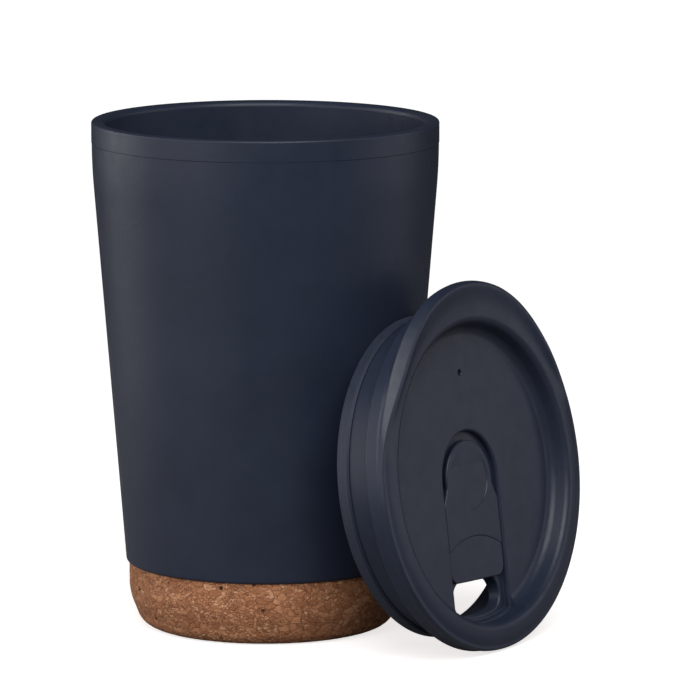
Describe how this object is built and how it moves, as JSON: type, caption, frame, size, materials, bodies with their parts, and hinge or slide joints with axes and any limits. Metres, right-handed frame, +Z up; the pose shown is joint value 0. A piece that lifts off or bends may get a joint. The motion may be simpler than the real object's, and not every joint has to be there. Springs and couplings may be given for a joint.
{
  "type": "travel tumbler",
  "caption": "Rigid double-wall travel tumbler with a cork base, and a push-in lid with a sliding sip closure that leans beside it.",
  "frame": {"origin": "centre of the cork's underside, on the surface the tumbler stands on", "axes": "+Z up along the cup's axis; +X the way the leaning lid faces; +Y completes the right-handed frame"},
  "size_m": [0.1177, 0.0936, 0.1322],
  "materials": {
    "shell_plastic": "fine satin moulded navy polypropylene",
    "liner_plastic": "fine satin moulded navy polypropylene",
    "lid_plastic": "fine satin moulded navy polypropylene",
    "slider_plastic": "fine satin moulded navy polypropylene",
    "silicone": "soft navy silicone",
    "cork": "natural agglomerated cork, sanded"
  },
  "bodies": {
    "cup": {"outer_shell": "shell_plastic", "inner_liner": "liner_plastic", "cork_base": "cork"},
    "lid": {"lid_cover": "lid_plastic", "seal_ring": "silicone"},
    "slider": {"slider": "slider_plastic", "slider_pad": "silicone", "slider_keeper": "slider_plastic"}
  },
  "joints": [
    {"name": "lid_lift", "type": "slide", "parent": "cup", "child": "lid", "axis": [0.35, 0, 0.9367], "range_m": [0, 0.12]},
    {"name": "slider_slide", "type": "slide", "parent": "lid", "child": "slider", "axis": [0.1528, -0.0436, -0.9873], "range_m": [-0.0019, 0.0087]}
  ]
}
